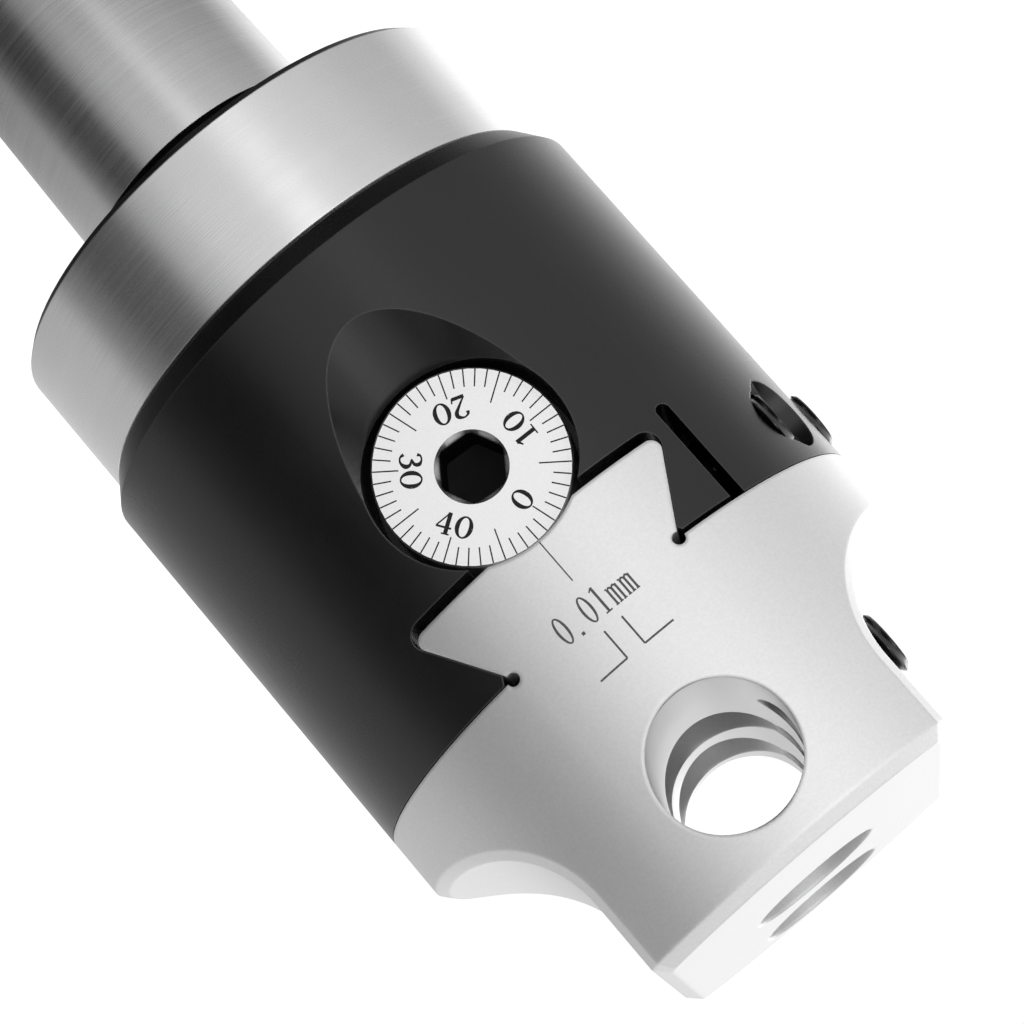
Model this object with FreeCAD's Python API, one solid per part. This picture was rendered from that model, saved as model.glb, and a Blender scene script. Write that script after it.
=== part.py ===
"""Boring head with a dovetail slide, on a Morse taper arbor: one solid for each piece on the bench.

Z runs along the spindle axis, out of the spindle towards the tool. Z = 0 is the gauge line of the taper.
The feed dial faces -Y, the set screws face -X. The joint face is where the head body meets the slide.
Sizes are in millimetres. "Depth" is measured from the joint face into the head body.
"""
import FreeCAD, Part
import math
import os

V = FreeCAD.Vector

# --- Head body, collar and slide ---------------------------------------------------------------------
HEAD_DIAMETER = 49.0
BODY_LENGTH = 38.1
SLIDE_HEIGHT = 24.5
COLLAR_DIAMETER = 46.0
COLLAR_LENGTH = 12.9
COLLAR_REAR_CHAMFER = 0.7
COLLAR_FRONT_CHAMFER = 0.3
SHOULDER_STEP = 1.4
SHOULDER_LENGTH = 2.1

# --- Morse taper 3 shank -----------------------------------------------------------------------------
GAUGE_DIAMETER = 23.825
TAPER = 1 / 19.922
SHANK_LENGTH = 81.0
SHANK_END_CHAMFER = 1.0
GROUND_OVERRUN = 0.3
NECK_LENGTH = 5.0
NECK_DIAMETER = 22.9
DRAWBAR_HOLE_RADIUS = 5.1
DRAWBAR_HOLE_DEPTH = 34.0
DRAWBAR_MOUTH_RADIUS = 7.0
DRAWBAR_MOUTH_DEPTH = 2.0

# --- Thread that joins the arbor to the head body ------------------------------------------------------
THREAD_RADIUS = 19.05
THREAD_CLEARANCE = 0.05
THREAD_END_GAP = 0.5
THREAD_END_CHAMFER = 1.0
RELIEF_RADIUS = 17.6
RELIEF_WIDTH = 2.0
THREAD_FLOOR_WALL = 1.7

# --- Dovetail and its gib tongue -----------------------------------------------------------------------
DOVETAIL_ROOT_HALF_WIDTH = 8.35
DOVETAIL_HEIGHT = 7.65
DOVETAIL_ANGLE = math.radians(60)
DOVETAIL_CORNER_RADIUS = 0.8
CEILING_GAP = 0.85
CEILING_CORNER_RADIUS = 1.2
JAW_CHAMFER = 0.8
ROOT_RELIEF_RADIUS = 0.55
FLANK_CLEARANCE = 0.04
JOINT_GAP = 0.1
TONGUE_NECK = 1.25
TONGUE_RELIEF = 0.3
SLOT_WIDTH = 1.15
SLOT_PAST_CEILING = 1.1

# --- Feed screw, dial, thrust pieces and nut -------------------------------------------------------------
DIAL_DEPTH = 15.25
DIAL_RADIUS = 8.05
DIAL_THICKNESS = 5.6
DIAL_EDGE_CHAMFER = 0.15
DIAL_INSET = 3.3
DIAL_POCKET_RADIUS = 8.7
SCOOP_TILT_UP = math.radians(53)
SCOOP_TILT_DOWN = math.radians(47)
HEX_ACROSS_FLATS = 5.0
HEX_DEPTH = 4.6
HEX_TURN = -4.5
HEX_CHAMFER_RADIUS = 3.0
HEX_CHAMFER_DEPTH = 0.35
FEED_SCREW_RADIUS = 4.0
FEED_SCREW_END_WALL = 4.5
FEED_SCREW_CHAMFER = 0.6
RUNNING_CLEARANCE = 0.05
THRUST_WASHER_RADIUS = 7.2
THRUST_WASHER_THICKNESS = 1.0
THRUST_CLEARANCE = 0.05
BEARING_WALL = 3.0
THRUST_COLLAR_RADIUS = 5.6
THRUST_COLLAR_LENGTH = 3.2
COLLAR_PIN_RADIUS = 0.75
NUT_RADIUS = 6.0
NUT_SEAT_DEPTH = 6.0
NUT_ABOVE_SCREW = 6.5
NUT_CHAMFER = 0.5
NUT_CHANNEL_CLEARANCE = 0.3
NUT_START_GAP = 0.5
CHANNEL_CORNER_RADIUS = 1.0

# --- Slide: scooped sides and tool bores --------------------------------------------------------------
BLOCK_WIDTH = 29.4
SIDE_SCOOP_RADIUS = 10.8
SIDE_SCOOP_CENTRE = 16.95
BLOCK_CORNER_CHAMFER = 0.8
FACE_EDGE_CHAMFER = 1.1
TOOL_BORE_RADIUS = 6.0
CROSS_BORE_HEIGHT = 15.25
CROSS_BORE_CHAMFER = 0.2
FACE_BORE_DEPTH = 20.0
REAR_BORE_WALL = 2.3

# --- Set screws, M6 --------------------------------------------------------------------------------------
SCREW_RADIUS = 2.95
SCREW_HOLE_RADIUS = 3.0
SCREW_HEX_ACROSS_FLATS = 3.0
SCREW_HEX_DEPTH = 3.0
SCREW_MOUTH_RADIUS = 3.6
SCREW_TIP_GAP = 0.05
GIB_SCREW_DEPTH = 4.6
GIB_SCREW_SPACING = 10.8
GIB_SPOT_DEPTH = 0.4
GIB_END_SCREW_PROUD = -0.5
GIB_MIDDLE_SCREW_PROUD = 0.6
CLAMP_SCREW_INSET = 10.8
CLAMP_SCREW_PROUD = 1.4
CLAMP_TIP_SETBACK = 0.2

# --- Places worked out from the sizes above -----------------------------------------------------------------
HEAD_RADIUS = HEAD_DIAMETER / 2
BODY_TOP_Z = NECK_LENGTH + COLLAR_LENGTH
JOINT_Z = BODY_TOP_Z + BODY_LENGTH
SLIDE_TOP_Z = JOINT_Z + JOINT_GAP
FACE_Z = JOINT_Z + SLIDE_HEIGHT
CEILING_DEPTH = DOVETAIL_HEIGHT + CEILING_GAP
DIAL_Z = JOINT_Z - DIAL_DEPTH
THREAD_FLOOR_Z = DIAL_Z - DIAL_POCKET_RADIUS - THREAD_FLOOR_WALL
DIAL_FACE_Y = DIAL_INSET - HEAD_RADIUS
DIAL_BACK_Y = DIAL_FACE_Y + DIAL_THICKNESS
WASHER_Y = DIAL_BACK_Y + THRUST_CLEARANCE
POCKET_FLOOR_Y = WASHER_Y + THRUST_WASHER_THICKNESS + THRUST_CLEARANCE
CHANNEL_FRONT_Y = POCKET_FLOOR_Y + BEARING_WALL
THRUST_COLLAR_Y = CHANNEL_FRONT_Y + THRUST_CLEARANCE
THRUST_COLLAR_END_Y = THRUST_COLLAR_Y + THRUST_COLLAR_LENGTH
NUT_Y = THRUST_COLLAR_END_Y + NUT_START_GAP + NUT_RADIUS
NUT_TOP_Z = DIAL_Z - NUT_ABOVE_SCREW
CHANNEL_TOP_Z = NUT_TOP_Z - NUT_CHANNEL_CLEARANCE
CHANNEL_HALF_WIDTH = NUT_RADIUS + NUT_CHANNEL_CLEARANCE
DOVETAIL_TOP_Z = JOINT_Z - DOVETAIL_HEIGHT
CEILING_Z = JOINT_Z - CEILING_DEPTH
SIDE_CLEARANCE = FLANK_CLEARANCE / math.sin(DOVETAIL_ANGLE)
CROSS_BORE_Z = JOINT_Z + CROSS_BORE_HEIGHT
REAR_BORE_Y = HEAD_RADIUS - REAR_BORE_WALL - TOOL_BORE_RADIUS
BLOCK_HALF_WIDTH = BLOCK_WIDTH / 2
GIB_SCREW_Z = JOINT_Z - GIB_SCREW_DEPTH
OVERRUN = 5.0


def cylinder(start, end, radius):
    along = end - start
    return Part.makeCylinder(radius, along.Length, start, along)


def cone(start, start_radius, end, end_radius):
    along = end - start
    return Part.makeCone(start_radius, end_radius, along.Length, start, along)


def box(low, high):
    size = high - low
    return Part.makeBox(size.x, size.y, size.z, low)


def prism(points, along):
    """Extrude the closed outline through the points by the vector along."""
    return Part.Face(Part.makePolygon(points + points[:1])).extrude(along)


def turned(profile):
    """Revolve a list of (radius, z) points about the Z axis."""
    points = [V(radius, 0, z) for radius, z in profile]
    face = Part.Face(Part.makePolygon(points + points[:1]))
    return face.revolve(V(0, 0, 0), V(0, 0, 1), 360)


def hex_prism(start, along, across_flats, turn_degrees=0.0):
    """Hexagonal prism from start, along Y or X, turned about its own axis."""
    axis = V(along).normalize()
    side = V(0, 0, 1)
    other = axis.cross(side)
    corner_radius = across_flats / math.sqrt(3)
    angles = [math.radians(60 * n + 30 + turn_degrees) for n in range(6)]
    corners = [start + side * (corner_radius * math.cos(a)) + other * (corner_radius * math.sin(a))
               for a in angles]
    return prism(corners, along)


def circle_edges(shape, radius):
    """The full circles of the given radius."""
    return [e for e in shape.Edges
            if isinstance(e.Curve, Part.Circle) and e.isClosed() and abs(e.Curve.Radius - radius) < 1e-6]


def edges_along(shape, direction, test):
    """Straight edges along a direction whose midpoint passes the test."""
    found = []
    for edge in shape.Edges:
        if not isinstance(edge.Curve, Part.Line):
            continue
        if edge.Curve.Direction.cross(direction).Length < 1e-6 and test(edge.CenterOfMass):
            found.append(edge)
    return found


# --- Arbor ---------------------------------------------------------------------------------------------------

def taper_radius(z):
    """Radius of the ground taper at height z; it shrinks towards the spindle end."""
    return GAUGE_DIAMETER / 2 + z * TAPER / 2


def make_arbor():
    end_z = -SHANK_LENGTH
    stub_radius = THREAD_RADIUS - THREAD_CLEARANCE
    stub_end_z = THREAD_FLOOR_Z - THREAD_END_GAP
    collar_radius = COLLAR_DIAMETER / 2
    neck_radius = NECK_DIAMETER / 2
    neck_step = taper_radius(GROUND_OVERRUN) - neck_radius
    arbor = turned([
        (0, end_z),
        (taper_radius(end_z) - SHANK_END_CHAMFER, end_z),
        (taper_radius(end_z + SHANK_END_CHAMFER), end_z + SHANK_END_CHAMFER),
        (taper_radius(GROUND_OVERRUN), GROUND_OVERRUN),
        (neck_radius, GROUND_OVERRUN + neck_step),
        (neck_radius, NECK_LENGTH),
        (collar_radius - COLLAR_REAR_CHAMFER, NECK_LENGTH),
        (collar_radius, NECK_LENGTH + COLLAR_REAR_CHAMFER),
        (collar_radius, BODY_TOP_Z - COLLAR_FRONT_CHAMFER),
        (collar_radius - COLLAR_FRONT_CHAMFER, BODY_TOP_Z),
        (RELIEF_RADIUS, BODY_TOP_Z),
        (RELIEF_RADIUS, BODY_TOP_Z + RELIEF_WIDTH),
        (stub_radius, BODY_TOP_Z + RELIEF_WIDTH),
        (stub_radius, stub_end_z - THREAD_END_CHAMFER),
        (stub_radius - THREAD_END_CHAMFER, stub_end_z),
        (0, stub_end_z),
    ])
    hole = cylinder(V(0, 0, end_z - OVERRUN), V(0, 0, end_z + DRAWBAR_HOLE_DEPTH), DRAWBAR_HOLE_RADIUS)
    mouth = cone(V(0, 0, end_z), DRAWBAR_MOUTH_RADIUS,
                 V(0, 0, end_z + DRAWBAR_MOUTH_DEPTH), DRAWBAR_HOLE_RADIUS)
    return arbor.cut(hole).cut(mouth)


# --- Cutters shared by the head body and the slide, which are machined together around the dial ---------------

def tilted_scoop(tilt, side):
    """Round cutter the size of the dial pocket, tilted in the YZ plane; it ends on the dial axis at the
    head's surface. side is -1 for the scoop towards the spindle and +1 for the one towards the tool."""
    centre = V(0, -HEAD_RADIUS, DIAL_Z)
    outwards = V(0, -math.cos(tilt), side * math.sin(tilt))
    return cylinder(centre, centre + outwards * HEAD_DIAMETER, DIAL_POCKET_RADIUS)


def dial_pocket():
    pocket = cylinder(V(0, -HEAD_DIAMETER, DIAL_Z), V(0, POCKET_FLOOR_Y, DIAL_Z), DIAL_POCKET_RADIUS)
    return pocket.fuse([tilted_scoop(SCOOP_TILT_UP, -1), tilted_scoop(SCOOP_TILT_DOWN, 1)])


# --- Dovetail --------------------------------------------------------------------------------------------------

def flank_x(root_half_width, depth):
    """Half width of a dovetail at a depth from the joint face."""
    return root_half_width + depth / math.tan(DOVETAIL_ANGLE)


def dovetail_prism(root_half_width, height, corner_radius, past_joint, jaw_chamfer=0.0):
    """Dovetail along Y, running past the joint face; the jaw chamfer widens its mouth."""
    right = [
        (root_half_width + jaw_chamfer, JOINT_Z + past_joint),
        (root_half_width + jaw_chamfer, JOINT_Z),
        (flank_x(root_half_width, 0) + jaw_chamfer * math.cos(DOVETAIL_ANGLE),
         JOINT_Z - jaw_chamfer * math.sin(DOVETAIL_ANGLE)),
        (flank_x(root_half_width, height), JOINT_Z - height),
    ]
    if not jaw_chamfer:
        right.pop(2)
    outline = right + [(-x, z) for x, z in reversed(right)]
    points = [V(x, -HEAD_DIAMETER, z) for x, z in outline]
    solid = prism(points, V(0, 2 * HEAD_DIAMETER, 0))
    top = edges_along(solid, V(0, 1, 0), lambda middle: abs(middle.z - (JOINT_Z - height)) < 1e-6)
    return solid.makeFillet(corner_radius, top)


def jaw_root_half_width():
    return DOVETAIL_ROOT_HALF_WIDTH + SIDE_CLEARANCE


def ceiling_corner_x():
    """Widest point of the rounded upper corner of the head body's dovetail."""
    to_tangent = CEILING_CORNER_RADIUS / math.tan(DOVETAIL_ANGLE / 2)
    return flank_x(jaw_root_half_width(), CEILING_DEPTH) - to_tangent + CEILING_CORNER_RADIUS


def slot_inner_x():
    """Face of the tongue on the slot side; the tongue is on the -X side."""
    return -(ceiling_corner_x() + TONGUE_NECK)


def gib_slot():
    """Slot beside the dovetail that frees the tongue, with a full radius at its end."""
    inner = slot_inner_x()
    end_radius = SLOT_WIDTH / 2
    end_z = CEILING_Z - SLOT_PAST_CEILING + end_radius
    middle = inner - end_radius
    slot = box(V(inner - SLOT_WIDTH, -HEAD_DIAMETER, end_z), V(inner, HEAD_DIAMETER, JOINT_Z + OVERRUN))
    return slot.fuse(cylinder(V(middle, -HEAD_DIAMETER, end_z), V(middle, HEAD_DIAMETER, end_z), end_radius))


def tongue_relief():
    """Thin cut that keeps the tongue clear of the slide."""
    return box(V(slot_inner_x() - SLOT_WIDTH / 2, -HEAD_DIAMETER, JOINT_Z - TONGUE_RELIEF),
               V(-DOVETAIL_ROOT_HALF_WIDTH, HEAD_DIAMETER, JOINT_Z + OVERRUN))


# --- Set screws ----------------------------------------------------------------------------------------------------

def surface_x(y):
    """Where the head's round side lies at a given y, on the set-screw side."""
    return -math.sqrt(HEAD_RADIUS ** 2 - y ** 2)


def gib_tip_x():
    return slot_inner_x() + GIB_SPOT_DEPTH


def screw_hole(inner_x, y, z):
    """Threaded hole along X, from outside the head on the -X side."""
    return cylinder(V(-HEAD_DIAMETER, y, z), V(inner_x, y, z), SCREW_HOLE_RADIUS)


def set_screw(tip_x, end_x, y, z):
    """Hexagon-socket set screw along X, with its socket at end_x."""
    screw = cylinder(V(end_x, y, z), V(tip_x, y, z), SCREW_RADIUS)
    socket = hex_prism(V(end_x - OVERRUN, y, z), V(OVERRUN + SCREW_HEX_DEPTH, 0, 0), SCREW_HEX_ACROSS_FLATS)
    return screw.cut(socket)


def gib_screw_places():
    """Name, y and how far the socket end stands out of the head's side."""
    return [
        ("gib_screw_front", -GIB_SCREW_SPACING, GIB_END_SCREW_PROUD),
        ("gib_screw_middle", 0.0, GIB_MIDDLE_SCREW_PROUD),
        ("gib_screw_rear", GIB_SCREW_SPACING, GIB_END_SCREW_PROUD),
    ]


def clamp_screw_places():
    return [
        ("clamp_screw_front", CLAMP_SCREW_INSET - HEAD_RADIUS),
        ("clamp_screw_middle", 0.0),
        ("clamp_screw_rear", REAR_BORE_Y),
    ]


# --- Head body -------------------------------------------------------------------------------------------------------

def nut_channel():
    """Channel above the dovetail for the feed nut; open at the back, where the feed screw is seen."""
    channel = box(V(-CHANNEL_HALF_WIDTH, CHANNEL_FRONT_Y, CHANNEL_TOP_Z),
                  V(CHANNEL_HALF_WIDTH, HEAD_DIAMETER, CEILING_Z + DOVETAIL_HEIGHT / 2))
    corners = edges_along(channel, V(0, 1, 0), lambda middle: abs(middle.z - CHANNEL_TOP_Z) < 1e-6)
    return channel.makeFillet(CHANNEL_CORNER_RADIUS, corners)


def gib_screw_hole(y):
    """Threaded hole with a chamfered mouth; it crosses the slot and ends as a shallow spot in the tongue."""
    mouth_x = surface_x(y)
    mouth_depth = SCREW_MOUTH_RADIUS - SCREW_HOLE_RADIUS
    mouth = cone(V(mouth_x, y, GIB_SCREW_Z), SCREW_MOUTH_RADIUS,
                 V(mouth_x + mouth_depth, y, GIB_SCREW_Z), SCREW_HOLE_RADIUS)
    outer = cylinder(V(-HEAD_DIAMETER, y, GIB_SCREW_Z), V(mouth_x, y, GIB_SCREW_Z), SCREW_MOUTH_RADIUS)
    return screw_hole(gib_tip_x(), y, GIB_SCREW_Z).fuse([mouth, outer])


def make_head_body():
    body = turned([
        (0, BODY_TOP_Z),
        (HEAD_RADIUS - SHOULDER_STEP, BODY_TOP_Z),
        (HEAD_RADIUS, BODY_TOP_Z + SHOULDER_LENGTH),
        (HEAD_RADIUS, JOINT_Z),
        (0, JOINT_Z),
    ])
    thread_bore = cylinder(V(0, 0, BODY_TOP_Z - OVERRUN), V(0, 0, THREAD_FLOOR_Z), THREAD_RADIUS)
    dovetail = dovetail_prism(jaw_root_half_width(), CEILING_DEPTH, CEILING_CORNER_RADIUS, OVERRUN, JAW_CHAMFER)
    bearing = cylinder(V(0, -HEAD_RADIUS, DIAL_Z), V(0, HEAD_RADIUS, DIAL_Z),
                       FEED_SCREW_RADIUS + RUNNING_CLEARANCE)
    holes = [gib_screw_hole(y) for _, y, _ in gib_screw_places()]
    body = body.cut(thread_bore).cut(dovetail).cut(gib_slot()).cut(tongue_relief())
    return body.cut(nut_channel()).cut(dial_pocket()).cut(bearing).cut(holes)


# --- Slide -------------------------------------------------------------------------------------------------------------

def side_scoop(side):
    """Everything outside one side of the tool block: the concave run-out and the flat below it."""
    flat_x = side * BLOCK_HALF_WIDTH
    centre_x = side * (BLOCK_HALF_WIDTH + SIDE_SCOOP_RADIUS)
    centre_z = JOINT_Z + SIDE_SCOOP_CENTRE
    scoop = cylinder(V(centre_x, -HEAD_DIAMETER, centre_z), V(centre_x, HEAD_DIAMETER, centre_z),
                     SIDE_SCOOP_RADIUS)
    low_x, high_x = sorted((flat_x, side * HEAD_DIAMETER))
    below = box(V(low_x, -HEAD_DIAMETER, centre_z), V(high_x, HEAD_DIAMETER, FACE_Z + OVERRUN))
    return scoop.fuse(below)


def make_slide_blank():
    """Round disc and tool block, before the dovetail and the bores.

    The chamfer on the block's upright corners runs on along the rims of the side scoops.
    """
    blank = cylinder(V(0, 0, SLIDE_TOP_Z), V(0, 0, FACE_Z), HEAD_RADIUS)
    blank = blank.cut([side_scoop(-1), side_scoop(1)])
    corners = edges_along(blank, V(0, 0, 1), lambda middle: middle.z > JOINT_Z + SIDE_SCOOP_CENTRE)
    blank = blank.makeChamfer(BLOCK_CORNER_CHAMFER, corners)
    face_edges = [e for e in blank.Edges if abs(e.BoundBox.ZMin - FACE_Z) < 1e-4 > abs(e.BoundBox.ZMax - FACE_Z)]
    return blank.makeChamfer(FACE_EDGE_CHAMFER, face_edges)


def cross_bore():
    start = V(0, -HEAD_RADIUS, CROSS_BORE_Z)
    end = V(0, HEAD_RADIUS, CROSS_BORE_Z)
    bore = cylinder(V(0, -HEAD_DIAMETER, CROSS_BORE_Z), V(0, HEAD_DIAMETER, CROSS_BORE_Z), TOOL_BORE_RADIUS)
    inwards = V(0, 2 * CROSS_BORE_CHAMFER, 0)
    wide = TOOL_BORE_RADIUS + CROSS_BORE_CHAMFER
    tight = TOOL_BORE_RADIUS - CROSS_BORE_CHAMFER
    return bore.fuse([cone(start, wide, start + inwards, tight), cone(end, wide, end - inwards, tight)])


def face_bore(y):
    """Flat-bottomed tool bore from the tool face."""
    return cylinder(V(0, y, FACE_Z - FACE_BORE_DEPTH), V(0, y, FACE_Z + OVERRUN), TOOL_BORE_RADIUS)


def root_relief(side):
    x = side * DOVETAIL_ROOT_HALF_WIDTH
    return cylinder(V(x, -HEAD_DIAMETER, SLIDE_TOP_Z), V(x, HEAD_DIAMETER, SLIDE_TOP_Z), ROOT_RELIEF_RADIUS)


def make_slide():
    round_bar = cylinder(V(0, 0, DOVETAIL_TOP_Z - OVERRUN), V(0, 0, FACE_Z), HEAD_RADIUS)
    dovetail = dovetail_prism(DOVETAIL_ROOT_HALF_WIDTH, DOVETAIL_HEIGHT, DOVETAIL_CORNER_RADIUS, 1.0)
    slide = make_slide_blank().fuse(dovetail.common(round_bar))
    nut_seat = cylinder(V(0, NUT_Y, DOVETAIL_TOP_Z - OVERRUN), V(0, NUT_Y, DOVETAIL_TOP_Z + NUT_SEAT_DEPTH),
                        NUT_RADIUS)
    holes = [screw_hole(0, y, CROSS_BORE_Z) for _, y in clamp_screw_places()]
    slide = slide.cut([root_relief(-1), root_relief(1)]).cut(dial_pocket()).cut(nut_seat)
    return slide.cut([cross_bore(), face_bore(0), face_bore(REAR_BORE_Y)]).cut(holes)


# --- Feed screw, thrust pieces and nut ------------------------------------------------------------------------------------

def on_dial_axis(y):
    return V(0, y, DIAL_Z)


def collar_pin_hole():
    y = THRUST_COLLAR_Y + THRUST_COLLAR_LENGTH / 2
    return cylinder(V(0, y, DIAL_Z - THRUST_COLLAR_RADIUS), V(0, y, DIAL_Z + THRUST_COLLAR_RADIUS),
                    COLLAR_PIN_RADIUS)


def make_dial_screw():
    """Graduated dial and feed screw in one piece, with a hexagon socket in the dial's face."""
    end_y = HEAD_RADIUS - FEED_SCREW_END_WALL
    dial = cylinder(on_dial_axis(DIAL_FACE_Y), on_dial_axis(DIAL_BACK_Y), DIAL_RADIUS)
    face_edge = [e for e in circle_edges(dial, DIAL_RADIUS) if abs(e.CenterOfMass.y - DIAL_FACE_Y) < 1e-6]
    dial = dial.makeChamfer(DIAL_EDGE_CHAMFER, face_edge)
    screw = cylinder(on_dial_axis(DIAL_BACK_Y - 1), on_dial_axis(end_y), FEED_SCREW_RADIUS)
    tip = [e for e in circle_edges(screw, FEED_SCREW_RADIUS) if e.CenterOfMass.y > 0]
    screw = screw.makeChamfer(FEED_SCREW_CHAMFER, tip)
    socket = hex_prism(on_dial_axis(DIAL_FACE_Y - OVERRUN), V(0, OVERRUN + HEX_DEPTH, 0),
                       HEX_ACROSS_FLATS, HEX_TURN)
    mouth = cone(on_dial_axis(DIAL_FACE_Y), HEX_CHAMFER_RADIUS,
                 on_dial_axis(DIAL_FACE_Y + HEX_CHAMFER_DEPTH), HEX_ACROSS_FLATS / 2)
    return dial.fuse(screw).cut([socket, mouth, collar_pin_hole()])


def make_thrust_washer():
    washer = cylinder(on_dial_axis(WASHER_Y), on_dial_axis(WASHER_Y + THRUST_WASHER_THICKNESS),
                      THRUST_WASHER_RADIUS)
    return washer.cut(cylinder(on_dial_axis(-HEAD_DIAMETER), on_dial_axis(0),
                               FEED_SCREW_RADIUS + RUNNING_CLEARANCE))


def make_thrust_collar():
    collar = cylinder(on_dial_axis(THRUST_COLLAR_Y), on_dial_axis(THRUST_COLLAR_END_Y), THRUST_COLLAR_RADIUS)
    bore = cylinder(on_dial_axis(-HEAD_DIAMETER), on_dial_axis(HEAD_DIAMETER), FEED_SCREW_RADIUS)
    return collar.cut([bore, collar_pin_hole()])


def make_collar_pin():
    return collar_pin_hole()


def make_feed_nut():
    """Round nut seated in the slide; the feed screw crosses it."""
    nut = cylinder(V(0, NUT_Y, NUT_TOP_Z), V(0, NUT_Y, DOVETAIL_TOP_Z + NUT_SEAT_DEPTH), NUT_RADIUS)
    free_end = [e for e in circle_edges(nut, NUT_RADIUS) if abs(e.CenterOfMass.z - NUT_TOP_Z) < 1e-6]
    nut = nut.makeChamfer(NUT_CHAMFER, free_end)
    return nut.cut(cylinder(on_dial_axis(-HEAD_DIAMETER), on_dial_axis(HEAD_DIAMETER),
                            FEED_SCREW_RADIUS + RUNNING_CLEARANCE))


def make_all():
    pieces = {
        "arbor": make_arbor(),
        "head_body": make_head_body(),
        "slide": make_slide(),
        "dial_screw": make_dial_screw(),
        "thrust_washer": make_thrust_washer(),
        "thrust_collar": make_thrust_collar(),
        "collar_pin": make_collar_pin(),
        "feed_nut": make_feed_nut(),
    }
    for name, y, proud in gib_screw_places():
        pieces[name] = set_screw(gib_tip_x() - SCREW_TIP_GAP, surface_x(y) - proud, y, GIB_SCREW_Z)
    for name, y in clamp_screw_places():
        pieces[name] = set_screw(-TOOL_BORE_RADIUS - CLAMP_TIP_SETBACK, -BLOCK_HALF_WIDTH - CLAMP_SCREW_PROUD,
                                 y, CROSS_BORE_Z)
    return pieces


os.makedirs("parts", exist_ok=True)
for name, shape in make_all().items():
    shape = shape.removeSplitter()
    print(name, len(shape.Solids), shape.isValid(), round(shape.Volume, 1))
    shape.exportStep(f"parts/{name}.step")
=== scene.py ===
# Looks for the boring head: finishes for the CAD pieces, threaded set screws, the feed screw's
# thread, the dial's graduations and the marks on the slide. Lengths are metres in the frame's own
# axes: +Z out of the spindle, -Y the dial's side, -X the set screws' side.
import math

import bpy
from mathutils import Matrix, Vector


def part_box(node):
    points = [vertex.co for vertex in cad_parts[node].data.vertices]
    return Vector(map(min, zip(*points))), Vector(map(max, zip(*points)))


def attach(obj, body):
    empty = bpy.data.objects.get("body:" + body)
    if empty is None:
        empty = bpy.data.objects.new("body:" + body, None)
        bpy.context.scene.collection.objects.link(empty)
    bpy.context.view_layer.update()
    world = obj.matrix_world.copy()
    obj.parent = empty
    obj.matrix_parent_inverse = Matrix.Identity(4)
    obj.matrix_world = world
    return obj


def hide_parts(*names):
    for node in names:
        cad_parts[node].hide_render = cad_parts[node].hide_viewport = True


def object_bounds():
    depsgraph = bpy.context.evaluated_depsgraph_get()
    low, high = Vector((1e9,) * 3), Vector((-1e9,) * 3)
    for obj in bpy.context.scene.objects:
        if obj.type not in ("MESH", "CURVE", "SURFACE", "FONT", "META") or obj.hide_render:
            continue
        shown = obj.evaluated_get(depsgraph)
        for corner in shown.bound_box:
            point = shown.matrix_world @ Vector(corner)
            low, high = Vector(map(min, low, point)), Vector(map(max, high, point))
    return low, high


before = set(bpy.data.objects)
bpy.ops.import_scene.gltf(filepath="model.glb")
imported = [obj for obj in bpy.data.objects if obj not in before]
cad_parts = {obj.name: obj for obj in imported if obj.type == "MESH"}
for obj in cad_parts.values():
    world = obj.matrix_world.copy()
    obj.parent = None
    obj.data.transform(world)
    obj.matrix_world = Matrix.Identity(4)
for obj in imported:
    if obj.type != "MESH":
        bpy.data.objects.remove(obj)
cad_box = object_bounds()

MM = 0.001

# --- Camera, floor and light ----------------------------------------------------------------------
CAMERA_PLACE = Vector((9.53, -280.39, 105.24)) * MM
CAMERA_TARGET = Vector((-0.84, -0.03, 40.74)) * MM
CAMERA_ROLL = math.radians(139.05)
CAMERA_LENS = 120.26
FLOOR_RADIUS = 3.0
FLOOR_SIDES = 96
SOFTBOXES = [
    # name, azimuth, elevation, distance, width, height, watts
    ("key", -25, 35, 0.75, 0.50, 0.50, 0.6),
    ("fill", 60, 20, 0.95, 0.40, 0.60, 0.2),
    ("rim", -150, 15, 0.70, 0.20, 0.60, 0.8),
    ("back", 150, 30, 0.90, 0.40, 0.50, 0.3),
]
AMBIENT = 0.5
# In reflections the floor is darkened near the spindle axis as a painted shadow, which opens up between these
# two distances
FLOOR_SHADE = (0.05, 0.30)
FLOOR_DARKEST = 0.08
FLOOR_GLOW = 0.6
# Brightness of the studio's surround in reflections, by azimuth from the dial's side towards +X
SURROUND = [(-180, 1.20), (-162, 1.45), (-146, 1.60), (-130, 1.40), (-114, 1.00), (-98, 0.68), (-82, 0.74),
            (-50, 0.92), (-34, 1.05), (-18, 1.40), (-2, 0.96), (14, 0.95), (28, 0.66), (44, 0.14), (62, 0.10),
            (76, 0.25), (92, 0.64), (110, 0.64), (150, 0.70), (168, 0.85), (180, 1.20)]
SURROUND_PEAK = 1.6
OVERHEAD = 0.9
OVERHEAD_HEIGHTS = (0.55, 0.95)

# Where the arbor's painted neck shade starts and ends, along the spindle axis
NECK_TOP = (0.30 * MM, 0.36 * MM)
NECK_END = (5.62 * MM, 5.68 * MM)

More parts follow.
